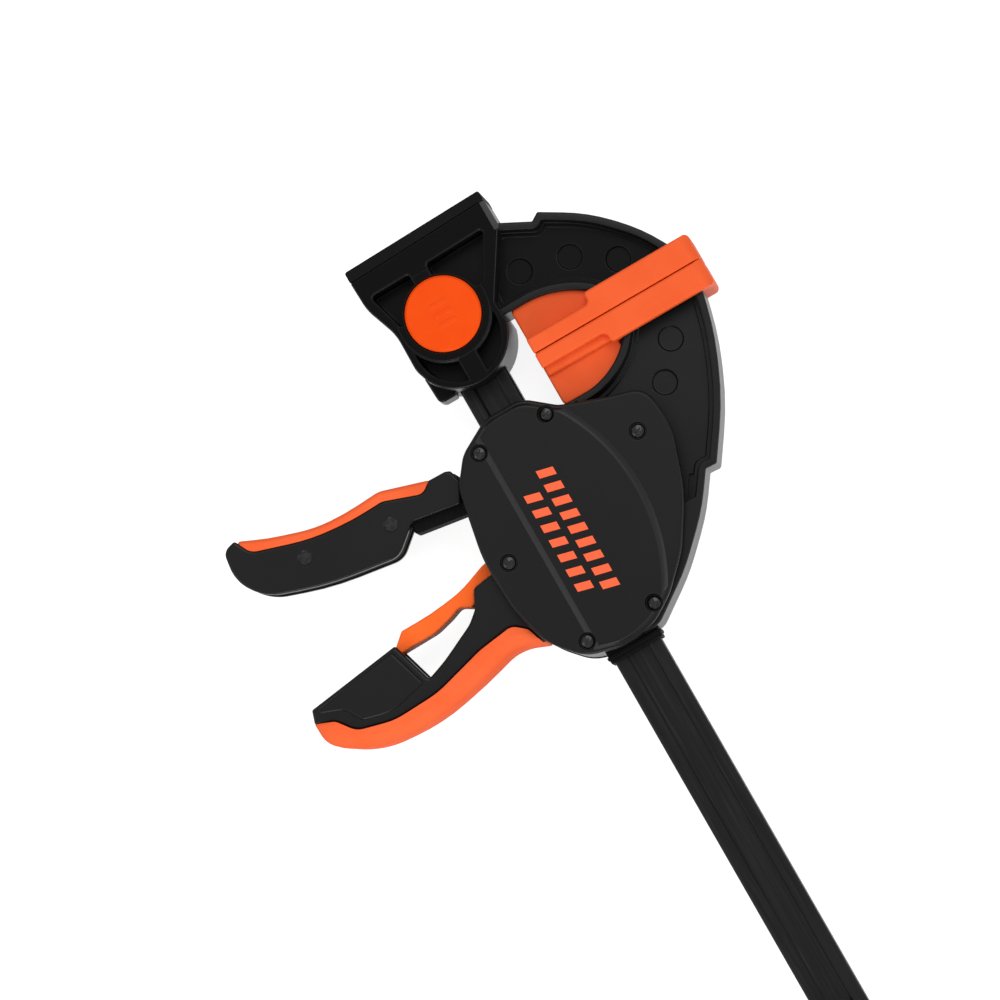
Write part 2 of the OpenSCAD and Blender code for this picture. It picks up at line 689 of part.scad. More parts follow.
module brake_spring() {
    y = -b - 8;
    start = brake_pivot[0] + brake_top_r + 0.1 - (brake_pivot[1] - y - 3.9) * tan(brake_tilt);
    color(steel) lift() translate([0, y, 0]) coil(start + 0.1, brake_wall - 0.1, 3.9, 1, 5);
}

module release_trigger() {
    color(orange) lift() difference() {
        union() {
            slab(trigger, trigger_t);
            rod(trigger_pivot, trigger_pin_r + 2.2, -trigger_t / 2, trigger_t / 2);
            rod([5.3, -b - 16], 2.5, -trigger_t / 2, trigger_t / 2);
        }
        rod(trigger_pivot, trigger_pin_r + pin_gap, -half, half);
    }
}

module trigger_pivot_pin() {
    color(steel) lift() rod(trigger_pivot, trigger_pin_r, -pin_end, pin_end);
}

bar();
bar_stop_pin();
fixed_jaw_frame();
spreader_pad();
fixed_jaw_pad();
push_button();
latch_pin();
latch_ring();
button_spring();
moving_jaw_frame();
front_cover();
rear_cover();
front_cover_screws();
rear_cover_screws();
cover_marks();
front_bar_guide();
rear_bar_collar();
moving_jaw_pad();
grip_soft_back();
lever_pivot_pin();
lever_core();
lever_front_plate();
lever_rear_plate();
lever_soft_strip();
lever_rivets();
drive_plates();
drive_spring();
brake_plates();
brake_spring();
release_trigger();
trigger_pivot_pin();
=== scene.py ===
import math
import bmesh
import bpy
from mathutils import Matrix, Vector
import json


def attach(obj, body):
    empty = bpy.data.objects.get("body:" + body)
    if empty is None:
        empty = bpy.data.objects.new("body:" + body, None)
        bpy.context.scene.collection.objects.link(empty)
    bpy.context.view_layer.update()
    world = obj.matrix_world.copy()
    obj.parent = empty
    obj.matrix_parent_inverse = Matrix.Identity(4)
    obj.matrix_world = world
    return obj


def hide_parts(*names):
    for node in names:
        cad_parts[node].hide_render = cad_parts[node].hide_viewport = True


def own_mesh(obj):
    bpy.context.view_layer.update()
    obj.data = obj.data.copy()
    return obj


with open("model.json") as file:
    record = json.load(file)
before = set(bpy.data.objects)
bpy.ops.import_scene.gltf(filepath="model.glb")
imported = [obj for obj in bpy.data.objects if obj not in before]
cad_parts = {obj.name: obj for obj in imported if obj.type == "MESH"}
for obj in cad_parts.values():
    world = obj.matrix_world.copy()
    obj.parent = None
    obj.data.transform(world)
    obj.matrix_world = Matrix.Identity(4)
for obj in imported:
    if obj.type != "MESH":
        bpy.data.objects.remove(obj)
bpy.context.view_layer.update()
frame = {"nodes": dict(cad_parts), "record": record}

# Shapes are made in millimetres about the bar's axis: X along the bar to its free end,
# Y to the jaw tips, Z up. placePiece turns them into metres and lifts them by halfBody.
halfBody = 20
toMetres = Matrix.Translation((0, 0, halfBody * 0.001)) @ Matrix.Scale(0.001, 4)


viewpoint = {
    "barAngle": 59.863,             # degrees that the bar leans from level, free end down
    "pixels": 1000,                 # across the picture
    "mmPerPixel": 0.3812,
    "target": (-20.392, -16.402, 40),    # point in the middle of the picture
    "lean": (0.11, 0.055),          # how far the view leans from straight above, per unit of height
    "distance": 2600,
    "sensor": 36,
}


def placeCamera(v):
    turn = math.radians(v["barAngle"])
    back = Vector((*v["lean"], 1)).normalized()
    up = back.cross(Vector((math.cos(turn), math.sin(turn), 0))).normalized()
    right = up.cross(back).normalized()
    data = bpy.data.cameras.new("camera")
    data.sensor_width = v["sensor"]
    data.lens = v["sensor"] * v["distance"] / (v["pixels"] * v["mmPerPixel"])
    data.clip_start = 0.05
    data.clip_end = 50
    camera = bpy.data.objects.new("camera", data)
    bpy.context.scene.collection.objects.link(camera)
    place = (Vector(v["target"]) + back * v["distance"]) * 0.001
    camera.matrix_world = Matrix.Translation(place) @ Matrix((right, up, back)).transposed().to_4x4()
    bpy.context.scene.camera = camera


placeCamera(viewpoint)
print("camera placed")


class Level:                        # a socket that can be added, multiplied and so on
    def __init__(self, nodes, socket):
        self.nodes = nodes
        self.socket = socket

    def __add__(self, other):
        return self.nodes.sum("ADD", self, other)

    __radd__ = __add__

    def __sub__(self, other):
        return self.nodes.sum("SUBTRACT", self, other)

    def __rsub__(self, other):
        return self.nodes.sum("SUBTRACT", other, self)

    def __mul__(self, other):
        return self.nodes.sum("MULTIPLY", self, other)

    __rmul__ = __mul__


class Nodes:                        # the nodes of one material or world
    def __init__(self, tree):
        self.tree = tree

    def add(self, kind, settings=None, sockets=None, output=0):
        made = self.tree.nodes.new(kind)
        for name, value in (settings or {}).items():
            setattr(made, name, value)
        for name, value in (sockets or {}).items():
            self.fill(made.inputs[name], value)
        return Level(self, made.outputs[output])

    def fill(self, socket, value):
        if isinstance(value, Level):
            self.tree.links.new(value.socket, socket)
        else:
            socket.default_value = value

    def sum(self, operation, first, second):
        return self.add("ShaderNodeMath", {"operation": operation}, {0: first, 1: second})

    def larger(self, first, second):
        return self.sum("MAXIMUM", first, second)

    def smoothStep(self, value, low, high):
        return self.add("ShaderNodeMapRange", {"interpolation_type": "SMOOTHSTEP"},
                        {"Value": value, "From Min": low, "From Max": high})

    def mixColor(self, factor, first, second):
        first, second = [color if isinstance(color, Level) else (*color, 1) for color in (first, second)]
        return self.add("ShaderNodeMix", {"data_type": "RGBA"}, {0: factor, 6: first, 7: second}, 2)

    def seenRay(self):              # 1 for camera, mirror and glass rays, 0 for light
        kinds = [self.add("ShaderNodeLightPath", output=kind)
                 for kind in ("Is Camera Ray", "Is Glossy Ray", "Is Transmission Ray")]
        return self.larger(self.larger(kinds[0], kinds[1]), kinds[2])


studio = {
    "worldLight": 0.58,
    "lamps": {                      # direction, distance in metres, width, height, watts
        "key": ((-0.45, 0.35, 1.0), 1.6, 0.9, 0.9, 8.7),
        "rightStrip": ((0.62, 0.87, 0.42), 1.3, 0.25, 1.3, 5.0),
        "leftStrip": ((0.0, -0.83, 0.56), 1.3, 1.3, 0.35, 3.6),
        "lowFill": ((0.9, -0.45, 0.42), 1.5, 0.6, 0.6, 9.5),
    },
    "floorDrop": 0.0006,
    "floorColor": (0.35, 0.35, 0.35, 1),
    "floorGlow": 0.87,
    "floorHalf": 6,
}


def lightStudio(v):
    scene = bpy.context.scene
    scene.view_settings.view_transform = "Standard"
    world = bpy.data.worlds.new("studio")
    world.use_nodes = True
    scene.world = world
    nodes = Nodes(world.node_tree)
    seen = nodes.seenRay()
    background = world.node_tree.nodes["Background"]
    background.inputs["Color"].default_value = (1, 1, 1, 1)
    nodes.fill(background.inputs["Strength"], v["worldLight"] + (1 - v["worldLight"]) * seen)
    for name, (direction, distance, width, height, watts) in v["lamps"].items():
        data = bpy.data.lights.new(name, "AREA")
        data.shape = "RECTANGLE"
        data.size = width
        data.size_y = height
        data.energy = watts
        lamp = bpy.data.objects.new(name, data)
        scene.collection.objects.link(lamp)
        direction = Vector(direction).normalized()
        lamp.location = direction * distance
        lamp.rotation_euler = direction.to_track_quat("Z", "X").to_euler()


def layFloor(v):
    reach = v["floorHalf"]
    corners = [(-reach, -reach), (reach, -reach), (reach, reach), (-reach, reach)]
    mesh = bpy.data.meshes.new("floor")
    mesh.from_pydata([(x, y, -v["floorDrop"]) for x, y in corners], [], [(0, 1, 2, 3)])
    floor = bpy.data.objects.new("floor", mesh)
    bpy.context.scene.collection.objects.link(floor)
    material = bpy.data.materials.new("paleFloor")
    material.use_nodes = True
    nodes = Nodes(material.node_tree)
    shader = material.node_tree.nodes["Principled BSDF"].inputs
    shader["Base Color"].default_value = v["floorColor"]
    shader["Roughness"].default_value = 0.9
    shader["Emission Color"].default_value = (1, 1, 1, 1)
    nodes.fill(shader["Emission Strength"], v["floorGlow"] * nodes.seenRay())
    mesh.materials.append(material)


lightStudio(studio)
layFloor(studio)
print("studio lit, floor laid")


class Finish(Nodes):                # a material with the clamp's own coordinates in millimetres
    def __init__(self, name, roughness, specular, metal=0.0):
        self.material = bpy.data.materials.new(name)
        self.material.use_nodes = True
        super().__init__(self.material.node_tree)
        self.shader = self.tree.nodes["Principled BSDF"].inputs
        self.shader["Roughness"].default_value = roughness
        self.shader["Metallic"].default_value = metal
        self.shader["Specular IOR Level"].default_value = specular
        place = self.add("ShaderNodeTexCoord", output="Object")
        self.mm = self.add("ShaderNodeVectorMath", {"operation": "SCALE"}, {0: place, "Scale": 1000.0})

    def noise(self, size, detail=2.0, stretch=(1, 1, 1)):
        place = self.add("ShaderNodeVectorMath", {"operation": "DIVIDE"},
                         {0: self.mm, 1: [size * s for s in stretch]})
        return self.add("ShaderNodeTexNoise", None, {"Vector": place, "Scale": 1.0, "Detail": detail})

    def cells(self, size):
        place = self.add("ShaderNodeVectorMath", {"operation": "DIVIDE"}, {0: self.mm, 1: [size] * 3})
        return self.add("ShaderNodeTexVoronoi", None, {"Vector": place, "Scale": 1.0})

    def wearAndHighlightEdge(self, radius):     # 1 on rounded outer edges, 0 on flat faces
        rounded = self.add("ShaderNodeBevel", {"samples": 6}, {"Radius": radius * 0.001})
        face = self.add("ShaderNodeNewGeometry", output="Normal")
        alike = self.add("ShaderNodeVectorMath", {"operation": "DOT_PRODUCT"}, {0: rounded, 1: face}, "Value")
        return self.smoothStep(1 - alike, 0.01, 0.16)

    def bump(self, height, depth, strength):
        normal = self.add("ShaderNodeBump", None, {"Height": height, "Distance": depth * 0.001,
                                                   "Strength": strength})
        self.fill(self.shader["Normal"], normal)

    def use(self, name, value):
        self.fill(self.shader[name], value)


def mouldedNylon(name, v):          # glass-filled nylon: fine spark-eroded grain, duller flow marks
    f = Finish(name, v["roughness"], v["specular"])
    flow = f.noise(26, 3)
    grain = f.noise(v["grain"], 3)
    # rounded edges are lightened in colour: partly wear, partly a painted highlight along the edges
    edge = f.wearAndHighlightEdge(0.5)
    color = f.mixColor(flow, v["color"], v["flowColor"])
    f.use("Base Color", f.mixColor(edge * v["edgeWearAndHighlight"] * (0.5 + grain), color, v["wearAndHighlightColor"]))
    f.use("Roughness", v["roughness"] - 0.05 + 0.08 * flow + 0.06 * grain)
    f.bump(grain, 0.05, v["bump"])
    return f.material


def softRubber(name, v):            # moulded soft grip: matt, with a fine pebble and a little dust
    f = Finish(name, v["roughness"], v["specular"])
    cloud = f.noise(17, 3)
    pebble = f.cells(v["pebble"])
    fine = f.noise(0.3, 2)
    color = f.mixColor(f.smoothStep(cloud, 0.3, 0.7), v["color"], v["paleColor"])
    f.use("Base Color", f.mixColor(v["dust"] * f.smoothStep(fine, 0.45, 0.75), color, v["dustColor"]))
    f.use("Roughness", v["roughness"] - 0.06 + 0.12 * fine)
    f.bump(pebble + 0.5 * fine, 0.04, v["bump"])
    return f.material


def glossyPlastic(name, v):         # coloured hard plastic with slight swirls and rubbed edges
    f = Finish(name, v["roughness"], v["specular"])
    swirl = f.noise(13, 4)
    grain = f.noise(0.35, 2)
    edge = f.wearAndHighlightEdge(0.6)
    color = f.mixColor(f.smoothStep(swirl, 0.35, 0.65), v["color"], v["deepColor"])
    f.use("Base Color", f.mixColor(edge * v["edgeWearAndHighlight"], color, v["wearAndHighlightColor"]))
    f.use("Roughness", v["roughness"] - 0.04 + 0.1 * grain)
    f.bump(grain, 0.02, v["bump"])
    return f.material


def brushedSteel(name, v):          # drawn or ground along X, with dark oxide and brighter scratches
    f = Finish(name, v["roughness"], v["specular"], v["metal"])
    lines = f.noise(0.28, 3, (90, 1, 1))
    broad = f.noise(1.6, 2, (40, 1, 1))
    cloud = f.noise(22, 3)
    edge = f.wearAndHighlightEdge(0.5)
    dark = f.mixColor(f.smoothStep(broad, 0.3, 0.7), v["color"], v["paleColor"])
    scratched = f.mixColor(v["scratches"] * f.smoothStep(lines, 0.58, 0.72), dark, v["bareColor"])
    f.use("Base Color", f.mixColor(edge * v["edgeWearAndHighlight"] * (0.4 + cloud), scratched, v["bareColor"]))
    f.use("Roughness", v["roughness"] - 0.06 + 0.14 * lines + 0.06 * cloud)
    f.bump(lines, 0.02, v["bump"])
    return f.material


def platedSteel(name, v):           # zinc or oxide on small turned and stamped parts
    f = Finish(name, v["roughness"], v["specular"], v["metal"])
    spots = f.noise(1.4, 3)
    fine = f.noise(0.2, 2)
    edge = f.wearAndHighlightEdge(0.25)
    color = f.mixColor(f.smoothStep(spots, 0.35, 0.7), v["color"], v["paleColor"])
    f.use("Base Color", f.mixColor(edge * v["edgeWearAndHighlight"], color, v["bareColor"]))
    f.use("Roughness", v["roughness"] - 0.05 + 0.12 * spots)
    f.bump(fine, 0.01, v["bump"])
    return f.material


def printedInk(name, v):            # pad-printed ink that thins out over the plastic's grain
    f = Finish(name, v["roughness"], v["specular"])
    grain = f.noise(0.3, 2)
    thin = f.smoothStep(f.noise(2.4, 4), 0.55, 0.8)
    f.use("Base Color", f.mixColor(0.25 * thin, v["color"], v["thinColor"]))
    f.use("Roughness", v["roughness"] + 0.1 * grain)
    f.bump(grain, 0.03, 0.4)
    return f.material


nylon = {
    "color": (0.0032, 0.0032, 0.0033), "flowColor": (0.0046, 0.0045, 0.0045),
    # the lighter edge colour is wear together with a painted highlight
    "wearAndHighlightColor": (0.03, 0.03, 0.031), "edgeWearAndHighlight": 0.55,
    "roughness": 0.32, "specular": 0.16, "grain": 0.45, "bump": 0.25,
}
rubber = {
    "color": (0.0018, 0.0018, 0.0019), "paleColor": (0.0028, 0.0027, 0.0027),
    "dustColor": (0.02, 0.02, 0.02), "dust": 0.3,
    "pebble": 0.7, "roughness": 0.6, "specular": 0.07, "bump": 0.4,
}
softOrange = {
    "color": (0.83, 0.113, 0.03), "paleColor": (0.85, 0.13, 0.038),
    "dustColor": (0.9, 0.25, 0.13), "dust": 0.12,
    "pebble": 0.8, "roughness": 0.68, "specular": 0.06, "bump": 0.3,
}
padOrange = {
    "color": (0.76, 0.092, 0.017), "paleColor": (0.79, 0.104, 0.022),
    "dustColor": (0.85, 0.18, 0.08), "dust": 0.1,
    "pebble": 0.6, "roughness": 0.5, "specular": 0.14, "bump": 0.25,
}
hardOrange = {
    "color": (0.8, 0.07, 0.0035), "deepColor": (0.78, 0.064, 0.003),
    "wearAndHighlightColor": (0.85, 0.16, 0.04), "edgeWearAndHighlight": 0.35,
    "roughness": 0.5, "specular": 0.06, "bump": 0.15,
}
darkBar = {
    "color": (0.0115, 0.0115, 0.012), "paleColor": (0.0155, 0.0155, 0.016),
    "bareColor": (0.1, 0.1, 0.1), "scratches": 0.12, "edgeWearAndHighlight": 0.4,
    "roughness": 0.4, "specular": 0.2, "metal": 0.9, "bump": 0.25,
}
brightPin = {
    "color": (0.5, 0.5, 0.5), "paleColor": (0.62, 0.62, 0.61),
    "bareColor": (0.75, 0.74, 0.72), "edgeWearAndHighlight": 0.3,
    "roughness": 0.3, "specular": 0.5, "metal": 1.0, "bump": 0.15,
}

footNylon = {
    **nylon, "color": (0.0015, 0.0015, 0.0016), "flowColor": (0.0022, 0.0022, 0.0022),
    "specular": 0.05, "roughness": 0.5,
}
# a darker copy of the nylon for the fixed arm's sunk web, dimples and pocket floors: painted shade
shadedWebNylon = {
    **nylon, "color": (0.0016, 0.0016, 0.0017), "flowColor": (0.0024, 0.0024, 0.0024),
    "specular": 0.07, "edgeWearAndHighlight": 0.3,
}
coverNylon = {**nylon, "specular": 0.145, "roughness": 0.36}
# the covers' crease slopes: a lighter colour as a painted highlight, and more gloss
creaseHighlightNylon = {
    **nylon, "color": (0.0058, 0.0058, 0.0058), "flowColor": (0.0072, 0.0071, 0.0071),
    "specular": 0.215, "roughness": 0.37,
}
guidePlastic = {
    **nylon, "color": (0.002, 0.002, 0.002),
    "edgeWearAndHighlight": 0.15, "roughness": 0.6, "specular": 0.06,
}
# a brighter copy of the orange plastic for the trigger, which gets less light between the lever and the grip:
# painted light
litTriggerOrange = {**hardOrange, "color": (1, 0.15, 0.025), "deepColor": (0.98, 0.14, 0.02)}
orangeInk = {
    "color": (0.9, 0.13, 0.05), "thinColor": (0.5, 0.08, 0.03),
    "roughness": 0.5, "specular": 0.1,
}
leverSteel = {
    **brightPin, "color": (0.004, 0.004, 0.004), "paleColor": (0.006, 0.006, 0.006),
    "bareColor": (0.05, 0.05, 0.05), "metal": 0.0, "specular": 0.05, "roughness": 0.7,
}
blackScrew = {
    **brightPin, "color": (0.02, 0.02, 0.02), "paleColor": (0.032, 0.032, 0.032),
    "bareColor": (0.14, 0.14, 0.14), "metal": 0.85, "specular": 0.4, "roughness": 0.22,
}
groundPlate = {
    **darkBar, "color": (0.3, 0.3, 0.31), "paleColor": (0.42, 0.42, 0.42),
    "bareColor": (0.6, 0.6, 0.6), "metal": 1.0, "specular": 0.5,
}
springWire = {**brightPin, "color": (0.34, 0.34, 0.35), "roughness": 0.28}

finishes = {                        # one for each slot, and four more for single pieces or faces
    "black_nylon": mouldedNylon("blackNylon", nylon),
    "footNylon": mouldedNylon("footNylon", footNylon),
    "shadedWebNylon": mouldedNylon("shadedWebNylon", shadedWebNylon),
    "cover_nylon": mouldedNylon("coverNylon", coverNylon),
    "creaseHighlightNylon": mouldedNylon("creaseHighlightNylon", creaseHighlightNylon),
    "guide_plastic": mouldedNylon("guidePlastic", guidePlastic),
    "black_rubber": softRubber("blackRubber", rubber),
    "orange_soft": softRubber("softOrange", softOrange),
    "orange_pad": softRubber("padOrange", padOrange),
    "orange_plastic": glossyPlastic("hardOrange", hardOrange),
    "litTriggerOrange": glossyPlastic("litTriggerOrange", litTriggerOrange),
    "orange_print": printedInk("orangeInk", orangeInk),
    "bar_steel": brushedSteel("darkBarSteel", darkBar),
    "lever_steel": platedSteel("leverSteel", leverSteel),
    "screw_steel": platedSteel("blackScrew", blackScrew),
    "bright_steel": platedSteel("zincPin", brightPin),
    "plate_steel": brushedSteel("groundPlate", groundPlate),
    "spring_steel": platedSteel("springWire", springWire),
}
print("finishes made")


# Outlines are lists of corners (x, y, radius), made solid by sweeping an edge's section round them.
def cornerSteps(before, corner, after, radius):    # one every 4 degrees on wide bends, every 11 on small ones
    turn = 180 - math.degrees((Vector(before) - Vector(corner)).angle(Vector(after) - Vector(corner)))
    if radius <= 0 or turn < 1:
        return 0
    return max(2, math.ceil(turn / (4 if radius > 8 else 11)))


def roundCorner(before, corner, after, radius, steps, share):
    corner = Vector(corner)
    if not steps:
        return [corner]
    toBefore = Vector(before) - corner
    toAfter = Vector(after) - corner
    reach = share * min(toBefore.length, toAfter.length)
    toBefore.normalize()
    toAfter.normalize()
    bend = toBefore.angle(toAfter) / 2
    run = min(max(radius, 0) / math.tan(bend), reach)
    middle = corner + (toBefore + toAfter).normalized() * run / math.cos(bend)
    spoke = corner + toBefore * run - middle
    turn = math.copysign(math.pi - 2 * bend, toAfter.cross(toBefore))
    return [middle + Matrix.Rotation(turn * i / steps, 2) @ spoke for i in range(steps + 1)]


def insetCorners(corners, depth):   # the same corners, with every edge moved inwards
    places = [Vector(c[:2]) for c in corners]
    area = sum(p.cross(q) for p, q in zip(places[-1:] + places[:-1], places))
    side = math.copysign(1, area)
    moved = []
    for i, place in enumerate(places):
        come = (place - places[i - 1]).normalized()
        leave = (places[(i + 1) % len(places)] - place).normalized()
        first = side * Vector((-come.y, come.x))
        second = side * Vector((-leave.y, leave.x))
        shift = depth * (first + second) / (1 + first.dot(second))
        grown = -depth if side * come.cross(leave) > 0 else depth
        radius = corners[i][2]
        moved.append((*(place + shift), radius + grown if radius > 0 else 0))
    return moved


def roundChain(chain):              # a section of (depth, height, radius), open at both ends
    points = [Vector(chain[0][:2])]
    for before, corner, after in zip(chain, chain[1:], chain[2:]):
        radius = corner[2] if len(corner) > 2 else 0
        steps = 4 if radius else 0
        points += roundCorner(before[:2], corner[:2], after[:2], radius, steps, 0.97)
    return points + [Vector(chain[-1][:2])]


def shapeFrom(mesh):                # a bmesh as an object of its own
    bmesh.ops.remove_doubles(mesh, verts=mesh.verts, dist=0.0005)
    bmesh.ops.recalc_face_normals(mesh, faces=mesh.faces)
    data = bpy.data.meshes.new("shape")
    mesh.to_mesh(data)
    mesh.free()
    shape = bpy.data.objects.new("shape", data)
    bpy.context.scene.collection.objects.link(shape)
    return shape


turned = {"z": lambda p, h: (p.x, p.y, h), "x": lambda p, h: (h, p.x, p.y)}


def sweep(corners, chain, along="z"):    # the section goes round the outline; both ends are closed
    steps = [cornerSteps(corners[i - 1][:2], c[:2], corners[(i + 1) % len(corners)][:2], c[2])
             for i, c in enumerate(corners)]
    mesh = bmesh.new()
    rings = []
    for depth, height in roundChain(chain):
        moved = insetCorners(corners, depth)
        ring = []
        for i, (x, y, radius) in enumerate(moved):
            after = moved[(i + 1) % len(moved)]
            ring += roundCorner(moved[i - 1][:2], (x, y), after[:2], radius, steps[i], 0.49)
        rings.append([mesh.verts.new(turned[along](p, height)) for p in ring])
    for low, high in zip(rings, rings[1:]):
        for i in range(len(low)):
            mesh.faces.new((low[i - 1], low[i], high[i], high[i - 1]))
    mesh.faces.new(rings[0])
    mesh.faces.new(rings[-1][::-1])
    return shapeFrom(mesh)


def prism(corners, low, high, along="z"):
    return sweep(corners, [(0, low), (0, high)], along)


def slab(corners, thickness, edge):      # centred on the bar's plane, with rounded edges
    top = thickness / 2
    return sweep(corners, mirroredChain([(edge * 1.04, top), (0, top, edge)]))


def mirroredChain(chain):
    return chain + [(c[0], -c[1], *c[2:]) for c in reversed(chain)]


def arc(x, y, radius, start, end, steps):
    angles = [math.radians(start + (end - start) * i / steps) for i in range(steps + 1)]
    return [(x + radius * math.cos(a), y + radius * math.sin(a), 0) for a in angles]


def circle(place, radius, sides=56):
    return arc(*place, radius, 0, 360, sides)[:-1]


def rod(place, radius, low, high):
    return prism(circle(place, radius, 40), low, high)


def box(x0, x1, y0, y1):
    return [(x0, y0, 0), (x1, y0, 0), (x1, y1, 0), (x0, y1, 0)]


def block(x0, x1, y0, y1, z0, z1):
    return prism(box(x0, x1, y0, y1), z0, z1)


def flipped(shape):                 # a copy on the clamp's rear side
    data = shape.data.copy()
    data.transform(Matrix.Scale(-1, 4, (0, 0, 1)))
    data.flip_normals()
    copy = bpy.data.objects.new("shape", data)
    bpy.context.scene.collection.objects.link(copy)
    return copy


def bothSides(shapes):
    return shapes + [flipped(s) for s in shapes]


def combine(base, operation, others):
    for other in others:
        change = base.modifiers.new("combine", "BOOLEAN")
        change.solver = "MANIFOLD"
        change.operation = operation
        change.object = other
    shape = base.evaluated_get(bpy.context.evaluated_depsgraph_get())
    base.data = bpy.data.meshes.new_from_object(shape)
    base.modifiers.clear()
    for other in others:
        bpy.data.objects.remove(other)
    return base


def join(base, *others):
    return combine(base, "UNION", others)


def cut(base, *others):
    return combine(base, "DIFFERENCE", others)


def common(base, *others):
    return combine(base, "INTERSECT", others)


bodyOf = {n: body for body, names in frame["record"]["behaviour"]["bodies"].items() for n in names}
slotOf = {part["node"]: part["material_slot"] for part in frame["record"]["subparts"]}
sharpAngle = math.radians(32)


def softenNormals(piece):           # flat faces stay flat beside their rounded edges
    for face in piece.data.polygons:
        face.use_smooth = True
    piece.data.set_sharp_from_angle(angle=sharpAngle)
    even = piece.modifiers.new("evenNormals", "WEIGHTED_NORMAL")
    even.keep_sharp = True


def paintCreaseHighlight(piece, finish, low, high):    # sloping faces between two heights get a glossier finish whose lighter colour is a painted highlight
    piece.data.materials.append(finishes[finish])
    for face in piece.data.polygons:
        if 0.6 < abs(face.normal.z) < 0.96 and low < abs(face.center.z * 1000 - halfBody) < high:
            face.material_index = len(piece.data.materials) - 1


def weldSlivers(piece):             # joins points closer than a few microns, which cuts leave behind
    mesh = bmesh.new()
    mesh.from_mesh(piece.data)
    bmesh.ops.dissolve_degenerate(mesh, edges=mesh.edges, dist=0.002)
    mesh.to_mesh(piece.data)
    mesh.free()


def placePiece(piece, name, node, finish=None, levels=()):
    weldSlivers(piece)
    piece.data.materials.clear()
    piece.data.materials.append(finishes[finish or slotOf[node]])
    for i, (low, high, dimmer) in enumerate(levels):    # flat faces at these heights have another finish
        piece.data.materials.append(finishes[dimmer])
        for face in piece.data.polygons:
            if abs(face.normal.z) > 0.95 and low < abs(face.center.z) < high:
                face.material_index = i + 1
    piece.data.transform(toMetres)
    piece.name = name
    piece.data.name = name
    softenNormals(piece)
    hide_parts(node)
    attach(piece, bodyOf[node])
    print("made", name)


latch = (-93.5, 0)                  # button and latch pin
bar = {
    "start": -110.5, "end": 217.5, "endEdge": 0.5,
    "halfHeight": 10, "halfThick": 5, "corner": 1.2,
    "grooveTop": 5.1, "grooveFloor": 4.0, "grooveDepth": 1.1, "grooveRound": 0.6,
    "slotHalf": 2.5, "collarRadius": 4.2, "collarDepth": 0.4,
    "stopPin": (211, 0), "stopRadius": 2.5,
}


def makeBar(v):
    h, t, r = v["halfHeight"], v["halfThick"], v["corner"]
    groove = [(v["grooveTop"], t, v["grooveRound"]),
              (v["grooveFloor"], t - v["grooveDepth"], v["grooveRound"])]
    front = [(h, t, r)] + groove + [(-y, z, k) for y, z, k in reversed(groove)] + [(-h, t, r)]
    section = front + [(y, -z, k) for y, z, k in reversed(front)]
    edge = v["endEdge"]
    start, end = v["start"], v["end"]
    steel = sweep(section, [(edge, start), (0, start + edge), (0, end - edge), (edge, end)], "x")
    w = v["slotHalf"]
    cut(steel,
        block(start - 1, latch[0], -w, w, -t - 1, t + 1),
        rod(latch, w, -t - 1, t + 1),
        rod(latch, v["collarRadius"], -t - 1, -v["collarDepth"]),
        rod(v["stopPin"], v["stopRadius"], -t - 1, t + 1))
    placePiece(steel, "steel_bar", "bar")


makeBar(bar)


armSection = {"half": 13, "web": 5, "rim": 3, "rimEdge": 0.55, "outerEdge": 0.9,
              "ledge": 1.9, "ledgeHeight": 0.5, "dimpleRadius": 5, "dimpleDepth": 0.8}


def makeArm(corners, spots, v):
    inside = v["rim"] + v["ledge"]
    step = v["web"] + v["ledgeHeight"]
    arm = sweep(corners, mirroredChain([
        (inside + 1.4, v["web"]), (inside + 0.3, v["web"], 0.3),
        (inside, step, 0.25), (v["rim"] + 0.2, step, 0.5),
        (v["rim"], v["half"], v["rimEdge"]), (0, v["half"], v["outerEdge"])]))
    low, web = v["web"] - v["dimpleDepth"], v["web"]
    dimple = [(1.2, low - 0.04), (0.5, low), (0, web - 0.12), (-0.3, web + 0.01), (-0.3, web + 1)]
    dimples = [sweep(circle(p, v["dimpleRadius"], 48), dimple) for p in spots]
    return cut(arm, *bothSides(dimples))


